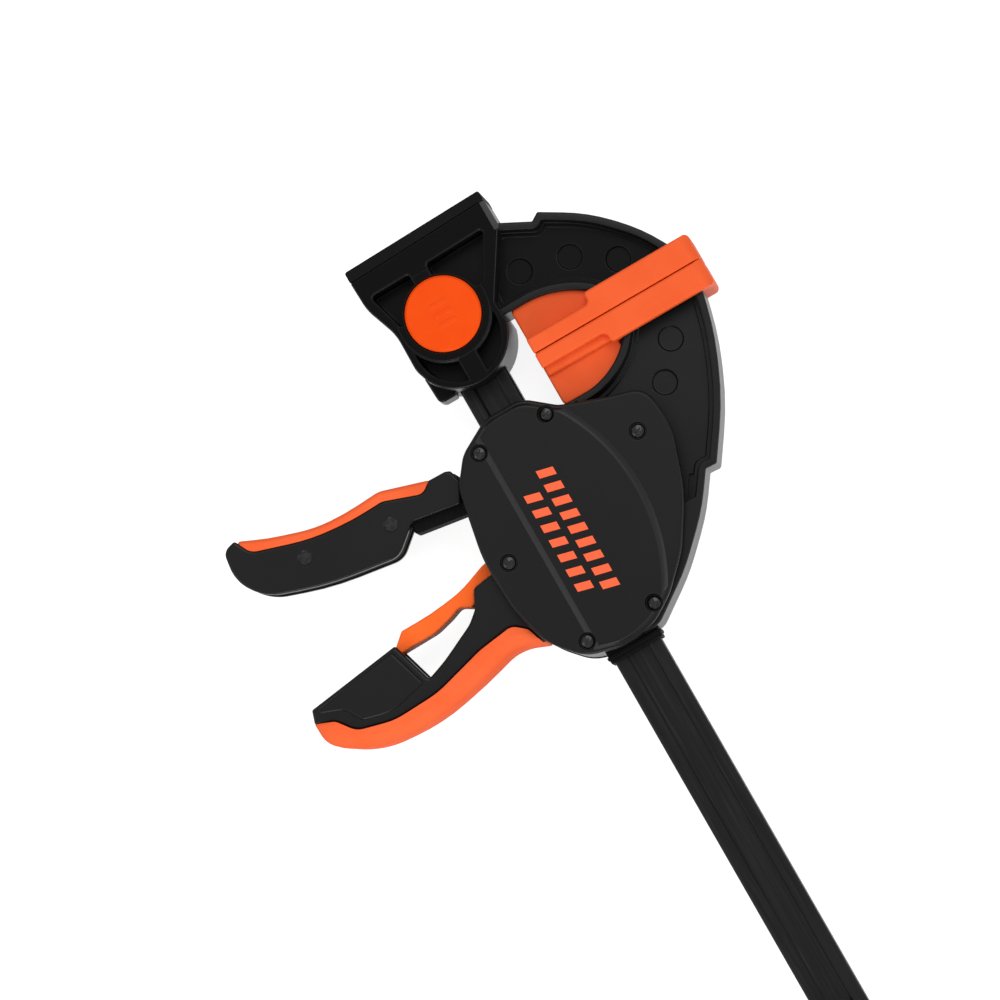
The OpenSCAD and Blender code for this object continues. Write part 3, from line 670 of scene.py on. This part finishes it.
fixedJaw = {
    "arm": [
        (-113.6, 18, 0), (-114.1, 35.3, 0), (-108, 46.9, 0.6), (-110.2, 50.4, 1), (-100.1, 67.1, 90),
        (-84.2, 82.1, 90), (-66.6, 91.4, 1.5), (-66.6, 60, 8), (-76.5, 49.5, 40), (-82, 36, 40),
        (-82, 16, 0)],
    "dimples": [(-94.7, 33.1), (-89.8, 52.5), (-79.6, 68.2)],
    "foot": [(-123.9, 35.1, 0.8), (-112.6, 35.3, 4), (-87.6, 19.4, 3)] + arc(-84, 0, 20.6, 75, -60, 22) + [
        (-79.4, -19.9, 12), (-95.5, -19.7, 20), (-109.5, -24.7, 20), (-121.6, -25.2, 0.8)],
    "lug": [(-76.7, -11.6, 0), (-65.3, -11.6, 1), (-65.3, -18.8, 2.5), (-76.7, -19.3, 0)],
    "footHalf": 19, "footEdge": 0.9, "lugHalf": 7.2,
    "chamfer": [(33.1, 19.05, 0), (36.4, 12.5, 0), (36.4, 19.8, 0)],    # on the edge towards the jaw tips
    "chamferSpan": (-140, -111.5),
    "topPocket": [(-114.5, 29.6, 1.2), (-96.7, 19.6, 2), (-96.7, 3.6, 2), (-113.7, 3.6, 1.5)],
    "lowPocket": [(-113.4, -4, 1.2), (-98.7, -4, 1.2), (-97.2, -16.6, 1.2), (-113.2, -21.2, 1.5)],
    "roundPocket": (-83.1, 0), "roundPocketRadius": 17.1, "rib": (-93, -62, -3.9, 4),
    "pocketFloor": 7.2, "lip": 0.55,
    "bore": 15.1, "boreFloor": 8.9, "ring": 18.2, "ringTop": 19.4,
    "innerWall": 16, "outerWall": 18.9,     # round the button, towards the foot's face and towards the bar
    "channel": (10.15, 5.15), "channelSpan": (-110.7, -61.7),
    "tailHole": 2.5, "collarHole": 4.3, "collarRoom": 9.6, "ringHole": 9, "ringSeat": 12.5,
    # flat faces up to 7.6 mm high, the sunk web and pocket floors, take the darker nylon as painted shade
    "levels": [(0, 7.6, "shadedWebNylon"), (17.2, 19.6, "footNylon")],
}


def makeFixedJaw(v):
    top = v["footHalf"]
    jaw = makeArm(v["arm"], v["dimples"], armSection)
    foot = slab(v["foot"], 2 * top, v["footEdge"])
    cut(foot, *bothSides([prism(v["chamfer"], *v["chamferSpan"], "x")]))
    ring = sweep(circle(latch, v["ring"]), [
        (0, 0), (0, v["ringTop"], 0.4), (v["ring"] - v["bore"] + 0.01, v["ringTop"])])
    join(jaw, foot, slab(v["lug"], 2 * v["lugHalf"], v["footEdge"]), ring)
    floor, lip = v["pocketFloor"], v["lip"]
    well = [(0.8, floor), (0, floor, 0.7), (0, top - lip), (-lip, top + 0.02), (-lip, top + 2)]
    wall = [(0, 0), (0, top - lip), (lip, top + 0.02), (lip, top + 3)]
    pockets = [sweep(v["topPocket"], well), sweep(v["lowPocket"], well),
               sweep(circle(v["roundPocket"], v["roundPocketRadius"]), well)]
    for pocket, radius in zip(pockets, (v["innerWall"], v["innerWall"], v["outerWall"])):
        cut(pocket, sweep(circle(latch, radius), wall))
    cut(pockets[2], sweep(box(*v["rib"]), wall))
    cut(jaw, *bothSides(pockets))
    y, z = v["channel"]
    mouth = v["ringTop"]
    cut(jaw,
        block(*v["channelSpan"], -y, y, -z, z),
        sweep(circle(latch, v["bore"]), [
            (0, v["boreFloor"]), (0, mouth - 0.4), (-0.35, mouth + 0.02), (-0.35, top + 3)]),
        rod(latch, v["tailHole"], -top - 1, v["boreFloor"] + 1),
        rod(latch, v["collarHole"], -v["collarRoom"], 0),
        rod(latch, v["ringHole"], -top - 1, -v["ringSeat"]))
    placePiece(jaw, "fixed_jaw_moulding", "fixed_jaw_frame", levels=v["levels"])


makeFixedJaw(fixedJaw)


spreader = {
    "outline": [(-123.9, 35.1, 0.6), (-121.6, -25.2, 0.6), (-126.3, -25.2, 1), (-127.96, 35.1, 1)],
    "thick": 38, "edge": 0.7,
}
placePiece(slab(spreader["outline"], spreader["thick"], spreader["edge"]), "spreader_rubber", "spreader_pad")


jawPad = {
    "plane": -62.7, "gap": 0.15, "strap": 11, "strip": 6.4, "thick": 34.4, "edge": 1.0,
    "low": 22.5, "mid": 50.4, "top": 96, "tipRound": 4.5, "innerCorner": 2.2,
    "wingStart": 3, "wingRise": 2.6, "wingThick": 21, "wingEdge": 0.8, "wingShoulder": 40,
    "fixedWing": 20, "movingWing": 22.3,
    "movingLedge": (9.9, 26.8, 1.6),    # reach, thickness, edge
    "span": (-90, -40),
}


def makePad(v, side, arm, wing, name, node, ledge=None):
    plane = v["plane"]
    low, mid, top = v["low"], v["mid"], v["top"]

    def at(distance):
        return plane + side * distance

    pad = slab([(at(v["gap"]), low, 1), (at(v["gap"]), top, 1.2), (at(v["strap"]), top, 2),
                (at(v["strap"]), mid, 1.4), (at(v["strip"]), mid, v["innerCorner"]),
                (at(v["strip"]), low, 0.8)], v["thick"], v["edge"])
    half = v["thick"] / 2 + 0.01
    front = [(0, -half, 0), (top, -half, v["tipRound"]), (top, half, v["tipRound"]), (0, half, 0)]
    common(pad, prism(front, *v["span"], "x"))
    start, high = at(v["wingStart"]), mid + v["wingRise"]
    join(pad, slab([(start, low, 0), (start, mid + 1, 0), (at(v["strap"] - 1), high, 0),
                    (at(wing - 2.5), high, 0), (at(wing), v["wingShoulder"], 0), (at(wing), low, 2)],
                   v["wingThick"], v["wingEdge"]))
    if ledge:
        reach, thick, edge = ledge
        join(pad, slab([(start, low + 0.4, 0), (start, mid + 1, 0), (at(reach), mid + 1, 0),
                        (at(reach), low + 0.4, 0.8)], thick, edge))
    cut(pad, prism(arm, -armSection["half"], armSection["half"]))
    placePiece(pad, name, node)


movingJaw = {
    "arm": [
        (-58.8, 92, 1.5), (-58.8, 60, 8), (-47.2, 51.5, 30), (-40.4, 38, 30), (-40.8, 18, 0), (30, 10, 0),
        (50.6, 6, 0), (50.6, 12.6, 8), (37.3, 31.5, 90), (21, 48.2, 90), (8, 57.4, 0.8), (8.3, 62, 1.5),
        (-12.8, 76.6, 120), (-36.4, 86.6, 120)],
    "dimples": [(-42.9, 70.4), (-29.4, 60.05)],
    "shell": [
        (-50.4, 9.5, 12), (-50.4, -6.5, 14), (-42.8, -20.3, 14), (-32.5, -28.2, 16), (-4, -33.7, 60),
        (18, -33.2, 40), (35.5, -28.6, 30), (47.7, -17.5, 16), (51.4, -4, 16), (51.4, 2, 16),
        (49.3, 11.8, 20), (42.8, 22, 30), (31, 34, 40), (12, 46.2, 60), (-14, 55.2, 60),
        (-30.3, 52.5, 9), (-34.6, 38, 30), (-41, 20.8, 8)],
    "grip": [
        (1.7, -22, 0), (1.7, -34, 0), (3, -42.4, 2), (10.4, -46.2, 2), (14.2, -50.6, 15), (21.6, -66, 60),
        (24.5, -74.4, 1), (7, -79.6, 1), (12.4, -119.5, 1), (17.6, -121.2, 0.5), (20.9, -113.6, 3),
        (28, -108.2, 8), (31.9, -93.5, 30), (31, -74, 40), (25, -52, 30), (23, -37, 5), (27.2, -32, 3),
        (34.5, -29.4, 0), (34.5, -22, 0)],
    "panel": [
        (25, -76.6, 1), (8.5, -81.6, 1), (13.3, -117.3, 0.5), (15.4, -117.2, 0.5), (18.8, -108.6, 5),
        (25.6, -104.8, 4), (28.8, -93, 20)],
    "solidPart": (15.6, 60, 0, 70), "coreHalf": 16, "shellInset": 0.4, "gripHalf": 12.5, "gripEdge": 1.2,
    "panelHalf": 13.4, "panelEdge": 1.2,
    "leverBay": [
        (-39.5, 28, 1), (-39.5, -15, 4), (-30, -24.4, 4), (-20, -27.5, 2), (-7, -29.5, 1), (-7, 28, 1)],
    "brakeBay": [(-3.6, 28, 1), (-3.6, -29.5, 1), (30, -26.7, 2), (30, 28, 1)],
    "crown": [(-29.5, 32, 2), (-27.5, 48, 4), (-12, 50.5, 4), (9, 43.5, 4), (27, 32, 2)], "crownWeb": 3,
    "screws": [(-40.2, 15), (-40, -14.5), (2, -25.5), (43, -14.3), (43, 15), (-17, 42.2)],
    "bossRadius": 3.6, "bossStarts": [10.6, 10.6, 8, 10.6, 10.6, 3], "screwRadius": 1.5, "screwTip": 8.2,
    "bossRib": (0.5, 3.5, -32, -25.5, 8),
    "cheeks": [(8.3, 9.7), (15.7, 17.1)], "cheekRoom": (23.9, 29, -12, 12),
    "guideRooms": [(-52, -39), (34, 52.4)], "guideHalf": (11.2, 7.05),
    "channel": (-45, 45, -10.5, 10.5, -5.5, 5.5),
    "slots": [                      # outline and half thickness
        ([(-36.2, -18.6, 0), (-43, -19.4, 0), (-43, -35, 0), (-9, -40, 0), (-9, -18.6, 0)], 11),
        ([(-5.2, -27, 0), (-5.6, -50, 0), (17, -50, 1), (17, -27, 0)], 8),
        ([(4, -70, 0), (4, -87, 0), (23.5, -87, 1), (23.5, -70, 0)], 8)],
    "webSlot": [(6.4, 52.8, 0.8), (15.2, 47, 0.8), (14.2, 45.1, 0.8), (5.6, 50.6, 0.8)],
}


def makeMovingJaw(v):
    core = v["coreHalf"]
    housing = prism(insetCorners(v["shell"], v["shellInset"]), -core, core)
    jaw = makeArm(v["arm"], v["dimples"], armSection)
    half = armSection["half"]
    rear = common(slab(v["arm"], 2 * half, armSection["outerEdge"]), block(*v["solidPart"], -half, half))
    join(jaw, rear, housing, slab(v["grip"], 2 * v["gripHalf"], v["gripEdge"]),
         slab(v["panel"], 2 * v["panelHalf"], v["panelEdge"]))
    cut(jaw, prism(v["leverBay"], -halfBody, halfBody), prism(v["brakeBay"], -halfBody, halfBody),
        *bothSides([prism(v["crown"], v["crownWeb"], halfBody)]))
    bosses = [rod(p, v["bossRadius"], low, core) for p, low in zip(v["screws"], v["bossStarts"])]
    bosses.append(block(*v["bossRib"], core))
    join(jaw, *bothSides(bosses), *[block(*x, *v["cheekRoom"]) for x in v["cheeks"]])
    y, z = v["guideHalf"]
    channels = [block(*x, -y, y, -z, z) for x in v["guideRooms"]] + [block(*v["channel"])]
    slots = [prism(corners, -deep, deep) for corners, deep in v["slots"]]
    holes = [rod(p, v["screwRadius"], v["screwTip"], halfBody) for p in v["screws"]]
    cut(jaw, *channels, *slots, *bothSides([prism(v["webSlot"], 3, halfBody)] + holes))
    placePiece(jaw, "moving_jaw_moulding", "moving_jaw_frame")


makeMovingJaw(movingJaw)
makePad(jawPad, -1, fixedJaw["arm"], jawPad["fixedWing"], "fixed_pad_moulding", "fixed_jaw_pad")
makePad(jawPad, 1, movingJaw["arm"], jawPad["movingWing"], "moving_pad_moulding", "moving_jaw_pad",
        jawPad["movingLedge"])


button = {
    "radius": 14.8, "top": 20.0, "low": 13, "wall": 2.2, "roof": 17.6, "edge": 0.85,
    "crown": [(13.5, 0.04), (7, 0)],    # in from the rim, and above the top
    "boss": 4.6, "bossLow": 13.4, "pin": 2.2,
    "barSpots": (-4, 0, 4), "barHalf": (0.8, 3.5), "barTop": 20.24,
}


def makeButton(v):
    top, edge, wall = v["top"], v["edge"], v["wall"]
    cap = sweep(circle(latch, v["radius"], 72), [(x, top + z) for x, z in v["crown"]] + [
        (edge, top - 0.12, 0.5), (0, top - edge - 0.1, 0.5),
        (0, v["low"]), (wall, v["low"]), (wall, v["roof"])])
    wide, long = v["barHalf"]
    marks = [sweep([(latch[0] + x - wide, -long, 0.5), (latch[0] + x + wide, -long, 0.5),
                    (latch[0] + x + wide, long, 0.5), (latch[0] + x - wide, long, 0.5)],
                   [(0.1, v["barTop"]), (0, v["barTop"] - 0.1), (0, top - 1)])
             for x in v["barSpots"]]
    join(cap, rod(latch, v["boss"], v["bossLow"], top - 1), *marks)
    cut(cap, rod(latch, v["pin"], 0, v["roof"]))
    placePiece(cap, "button_cap", "push_button")


makeButton(button)


cover = {
    "low": 16, "plate": 18.6, "edge": 1.2, "top": 20,
    "bandInset": 1.2, "bandSlope": 1.2, "bandLow": 17,      # the raised band, between fold and arch
    "archCentre": (1, -44.8), "archRadius": 78.1, "archHigh": (9, 23),
    "foldLow": -13.5, "foldHigh": (90, 20.6), "foldSpan": (-60, 60), "under": 16.5,
    "slope": [(0, 0), (0.8, 0.58), (1.6, 1.06), (2.4, 1.34), (3.2, 1.46), (4.5, 1.54), (9, 1.7)],
    "recess": 3.5, "headHole": 3.0, "recessDepth": 17.5, "seat": 17.2,
    "screwHole": 1.5, "screwStart": 10,
    "pivots": [((-28, 21), 3), ((2.6, -14.8), 2)], "pivotEnd": 17.6,
}


def makeCover(v, screws):
    plate, top = v["plate"], v["top"]
    shell = movingJaw["shell"]
    plateShape = sweep(shell, [(v["edge"] * 1.04, plate), (0, plate, v["edge"]), (0, v["low"])])
    inner = v["bandInset"] + v["bandSlope"]
    band = sweep(shell, [
        (inner + 1, top), (inner, top, 0.8), (v["bandInset"], plate - 0.2), (v["bandInset"], v["bandLow"])])
    slope = [(x, plate + z) for x, z in v["slope"]]
    low, (far, high) = v["under"], v["foldHigh"]
    arch = sweep(circle(v["archCentre"], v["archRadius"], 180), [(0, low)] + slope + [v["archHigh"]])
    fold = prism([(v["foldLow"], low, 0)] + [(v["foldLow"] + x, z, 0) for x, z in slope] +
                 [(far, high, 0), (far, low, 0)], *v["foldSpan"], "x")
    common(band, arch, fold)
    join(plateShape, band)
    wide, deep = v["recess"] - v["headHole"], v["recessDepth"]
    recess = [(0, top + 1), (0, plate - 0.25), (wide - 0.12, deep), (wide, deep), (wide, v["seat"])]
    for place in screws:
        cut(plateShape, sweep(circle(place, v["recess"], 32), recess),
            rod(place, v["screwHole"], v["screwStart"], halfBody))
    cut(plateShape, *[rod(p, r, 0, v["pivotEnd"]) for p, r in v["pivots"]])
    rear = flipped(plateShape)
    placePiece(plateShape, "front_cover_moulding", "front_cover")
    placePiece(rear, "rear_cover_moulding", "rear_cover")
    for piece in (plateShape, rear):
        paintCreaseHighlight(piece, "creaseHighlightNylon", v["plate"], top)


screw = {
    "radius": 2.8, "headTop": 18.5, "seat": 17.2, "shank": 1.5, "length": 9,
    "crossLong": 1.75, "crossHalf": 0.42, "crossFloor": 17.5,
    "firstTurn": 20, "eachTurn": 37,    # degrees, so that no two crosses stand alike
}


def makeScrews(v, screws):
    top, seat = v["headTop"], v["seat"]
    narrow = v["radius"] - v["shank"]
    section = [(2.6, top), (1.4, top - 0.08), (0.45, top - 0.42, 0.4), (0, top - 0.9, 0.2),
               (0, seat), (narrow, seat), (narrow, seat - v["length"])]
    x, y = v["crossLong"], v["crossHalf"]
    joined = bmesh.new()
    for i, place in enumerate(screws):
        one = sweep(circle(place, v["radius"], 32), section)
        turn = v["firstTurn"] + v["eachTurn"] * i
        for angle in (turn, turn + 90):
            across = Matrix.Rotation(math.radians(angle), 2)
            corners = [(*(Vector(place) + across @ Vector(corner[:2])), 0) for corner in box(-x, x, -y, y)]
            cut(one, sweep(corners, [(0.2, v["crossFloor"]), (0, top + 1)]))
        joined.from_mesh(one.data)
        bpy.data.objects.remove(one)
    front = shapeFrom(joined)
    rear = flipped(front)
    placePiece(front, "front_screw_set", "front_cover_screws")
    placePiece(rear, "rear_screw_set", "rear_cover_screws")


makeCover(cover, movingJaw["screws"])
makeScrews(screw, movingJaw["screws"])


collar = {
    "half": (11.2, 7.05), "corner": 0.8, "hole": (10.15, 5.15), "start": 34.2, "end": 54.5, "edge": 0.5,
    "flange": (11.75, 7.75), "flangeCorner": 1, "flangeSpan": (51.6, 52.8), "flangeEdge": 0.3,
}


def roundedBox(half, radius):
    y, z = half
    return [(-y, -z, radius), (y, -z, radius), (y, z, radius), (-y, z, radius)]


def makeCollar(v):
    edge, end = v["edge"], v["end"]
    low, high = v["flangeSpan"]
    tube = [(0, v["start"]), (0, end, edge), (edge * 1.1, end)]
    sleeve = sweep(roundedBox(v["half"], v["corner"]), tube, "x")
    flange = [(0, low), (0, high, v["flangeEdge"]), (0.4, high)]
    join(sleeve, sweep(roundedBox(v["flange"], v["flangeCorner"]), flange, "x"))
    y, z = v["hole"]
    cut(sleeve, block(0, 90, -y, y, -z, z))
    placePiece(sleeve, "bar_collar_moulding", "rear_bar_collar")


makeCollar(collar)


gripBack = {
    "outline": [
        (35.8, -27.4, 1), (30.9, -39.4, 40), (35.9, -57.6, 200), (40.2, -79.6, 90), (38.2, -104.6, 40),
        (27.2, -121.1, 14), (17.3, -121.5, 0.8), (17, -114, 0), (27.2, -94, 0), (26.6, -72, 0),
        (20, -48, 0), (18, -30, 0)],
    "thick": 27, "crown": 4.6, "gripRoom": 16,
}


def makeGripBack(v):
    soft = slab(v["outline"], v["thick"], v["crown"])
    room = v["gripRoom"]
    cut(soft, prism(movingJaw["grip"], -room, room), prism(movingJaw["shell"], -halfBody, halfBody))
    placePiece(soft, "grip_back_cushion", "grip_soft_back")


makeGripBack(gripBack)


lever = {
    "side": [
        (-35.5, -26.4, 2), (-40.9, -28.1, 1), (-41.7, -30, 1), (-41.9, -37, 0), (-38.5, -41.6, 4),
        (-43.9, -56.7, 6), (-43.4, -69.6, 90), (-45, -87.5, 90), (-52.3, -110.2, 6),
        (-59.3, -113.7, 1.2), (-57.8, -119.3, 5), (-45.5, -121, 16), (-34.5, -113.6, 30),
        (-26.5, -90.5, 120), (-22.1, -61.4, 8), (-31.2, -50.6, 4), (-27.9, -30.5, 1.5)],
    "strip": [
        (-41.9, -36.6, 1), (-48, -56, 10), (-47.1, -71.6, 90), (-48.1, -84.5, 90), (-53.7, -101.8, 90),
        (-58.9, -113.2, 1), (-50, -112.5, 0), (-36, -70, 0), (-36, -40, 0)],
    "neck": [
        (-41, -30, 0), (-41, -37, 0), (-38.2, -41.8, 4), (-36, -51, 0), (-26.7, -52, 1.5), (-23.3, -30, 0)],
    "fork": [(-34.5, 21, 0), (-34.8, -24.9, 1), (-39.6, -27.4, 1), (-41, -32, 0), (-23.9, -32, 0),
             (-23.6, -24, 2), (-29.5, -14, 2), (-29.5, 21, 0)],
    "half": 10, "plate": 3.5, "plateEdge": 1.0, "stripHalf": 9.8, "stripEdge": 1.5,
    "coreInset": 0.6, "coreEdge": 0.9, "forkHalf": 9.6, "forkEdge": 0.6,
    "pivot": (-28, 21), "hub": 6.5, "pivotHole": 3.05,
    "nose": (-26.3, 0), "noseBack": -30, "noseRadius": 2, "noseStart": 5.7,    # pushes the drive plates
    "barRoom": (-60, 0, -12.8, 14, -5.6, 5.6),
    "cheek": [(-45, -25.4, 0), (-45, -40, 0), (-20, -40, 0), (-20, -25.4, 0)],
    "rivets": [(-34.3, -58), (-39.8, -93)], "rivetHole": 1.6, "rivetSink": 2.6, "sinkFloor": 9.1,
}


def makeLever(v):
    half, inner = v["half"], v["half"] - v["plate"]
    plate = sweep(v["side"], [(v["plateEdge"] * 1.04, half), (0, half, v["plateEdge"]), (0, inner)])
    sink = [(0, v["sinkFloor"]), (0, half - 0.35), (-0.4, half + 0.01), (-0.4, half + 1)]
    for place in v["rivets"]:
        cut(plate, rod(place, v["rivetHole"], 0, half + 1), sweep(circle(place, v["rivetSink"], 32), sink))
    rear = flipped(plate)
    placePiece(plate, "lever_front_moulding", "lever_front_plate")
    placePiece(rear, "lever_rear_moulding", "lever_rear_plate")

    strip = slab(v["strip"], 2 * v["stripHalf"], v["stripEdge"])
    cut(strip, prism(v["side"], -half - 1, half + 1), prism(v["neck"], -inner, inner))
    placePiece(strip, "lever_strip_cushion", "lever_soft_strip")

    fork = v["forkHalf"]
    core = slab(v["fork"], 2 * fork, v["forkEdge"])
    join(core, rod(v["pivot"], v["hub"], -fork, fork), slab(v["neck"], 2 * inner, v["coreEdge"]),
         slab(insetCorners(v["side"], v["coreInset"]), 2 * inner, v["coreEdge"]))
    bend, low = v["noseRadius"], v["noseStart"]
    noses = [rod(v["nose"], bend, low, fork), block(v["noseBack"], v["nose"][0], -bend, bend, low, fork)]
    join(core, *bothSides(noses))
    cut(core, block(*v["barRoom"]), *bothSides([prism(v["cheek"], inner, halfBody)]),
        rod(v["pivot"], v["pivotHole"], -halfBody, halfBody),
        *[rod(p, v["rivetHole"], -halfBody, halfBody) for p in v["rivets"]])
    placePiece(core, "lever_core_plate", "lever_core")


makeLever(lever)


trigger = {
    "outline": [
        (-1.5, -15, 0), (-4.1, -34, 12), (0.9, -47.5, 40), (2.8, -62, 90), (2.8, -75, 2), (7.4, -80.2, 1.5),
        (8.4, -84, 0.8), (10.3, -83.8, 0.8), (9.9, -63.6, 16), (8, -56.2, 8), (6.1, -51, 3), (8.6, -47, 1.2),
        (7.8, -44.9, 1), (3, -42.7, 3), (2, -35, 4), (5, -29, 2), (6.7, -15, 0)],
    "half": 7, "edge": 0.9, "pivot": (2.6, -14.8), "hub": 4.2, "pivotHole": 2.05,
    "foot": (5.3, -26), "footRadius": 2.5,
}


def makeTrigger(v):
    half = v["half"]
    shape = slab(v["outline"], 2 * half, v["edge"])
    join(shape, rod(v["pivot"], v["hub"], -half, half), rod(v["foot"], v["footRadius"], -half, half))
    cut(shape, rod(v["pivot"], v["pivotHole"], -half - 1, half + 1))
    placePiece(shape, "trigger_moulding", "release_trigger", "litTriggerOrange")


makeTrigger(trigger)


kept = {                            # node: rounded edge in millimetres, or 0 for wire and print
    "bar_stop_pin": 0.4, "latch_pin": 0.3, "latch_ring": 0.15, "button_spring": 0, "front_bar_guide": 0.25,
    "lever_pivot_pin": 0.3, "lever_rivets": 0.25, "drive_plates": 0.2, "drive_spring": 0, "brake_plates": 0.2,
    "brake_spring": 0, "trigger_pivot_pin": 0.3, "cover_marks": 0,
}


def finishNode(name, edge):
    node = frame["nodes"][name]
    node.data.materials.clear()
    node.data.materials.append(finishes[slotOf[name]])
    weld = node.modifiers.new("weld", "WELD")
    weld.merge_threshold = 1e-6
    if edge:
        bevel = node.modifiers.new("roundedEdge", "BEVEL")
        bevel.width = edge * 0.001
        bevel.segments = 3
        bevel.limit_method = "ANGLE"
        bevel.angle_limit = math.radians(40)
    if name != "cover_marks":
        even = node.modifiers.new("evenNormals", "WEIGHTED_NORMAL")
        even.keep_sharp = True


for name, edge in kept.items():
    finishNode(name, edge)

springs = {                         # joint that presses it, axis, fixed end with Z from the floor, share left
    "button_spring": ("button_push", (0, 0, 1), (0, 0, 28.9), 0.52),
    "drive_spring": ("drive_feed", (1, 0, 0), (-7.1, 0, 0), 0.52),
    "brake_spring": ("brake_rock", (1, 0, 0), (29.9, 0, 0), 0.88),
}
for name, (joint, axis, end, keep) in springs.items():
    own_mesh(frame["nodes"][name])
print("kept parts finished")
